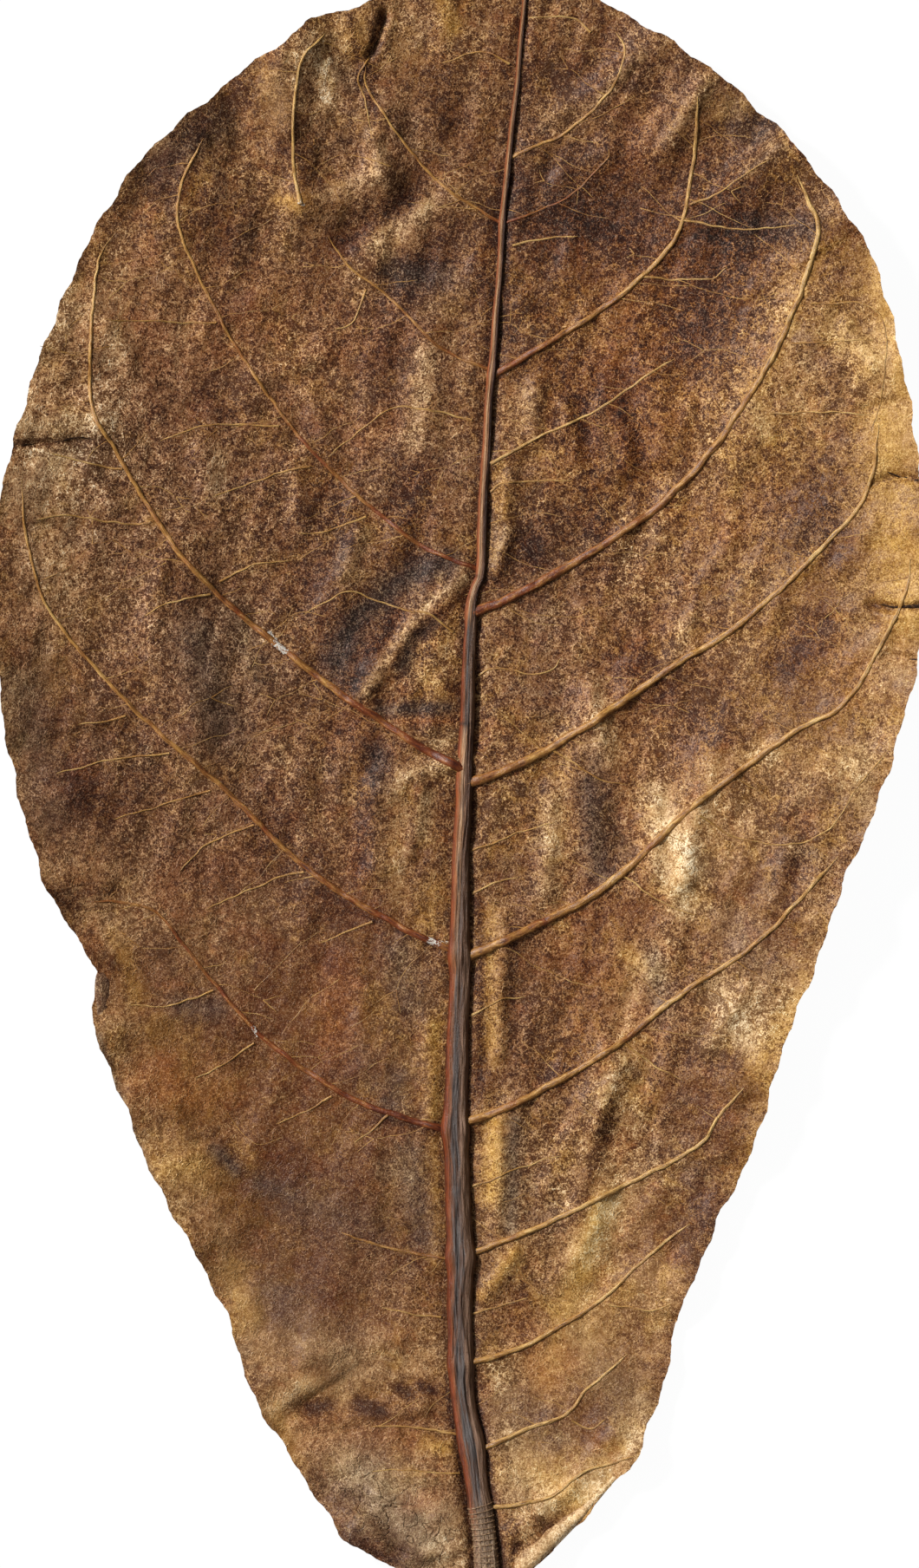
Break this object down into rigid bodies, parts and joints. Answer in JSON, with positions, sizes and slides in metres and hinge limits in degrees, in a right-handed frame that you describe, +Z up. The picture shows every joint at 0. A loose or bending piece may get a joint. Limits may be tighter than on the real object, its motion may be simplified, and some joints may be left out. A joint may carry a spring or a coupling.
{
  "type": "dried indian almond leaf",
  "caption": "Dried broad oval leaf with a raised midrib, arched side veins, a waved margin and a short stalk, lying with its veined underside up.",
  "frame": {"origin": "on the surface the leaf lies on, under the middle of its outline", "axes": "+Y from the stalk towards the tip, +X towards the half that stands higher at its edge, +Z up out of the veined underside"},
  "size_m": [0.1482, 0.2662, 0.0132],
  "materials": {
    "dry_leaf": "satin"
  },
  "bodies": {
    "root": {"leaf": "dry_leaf"}
  },
  "joints": []
}
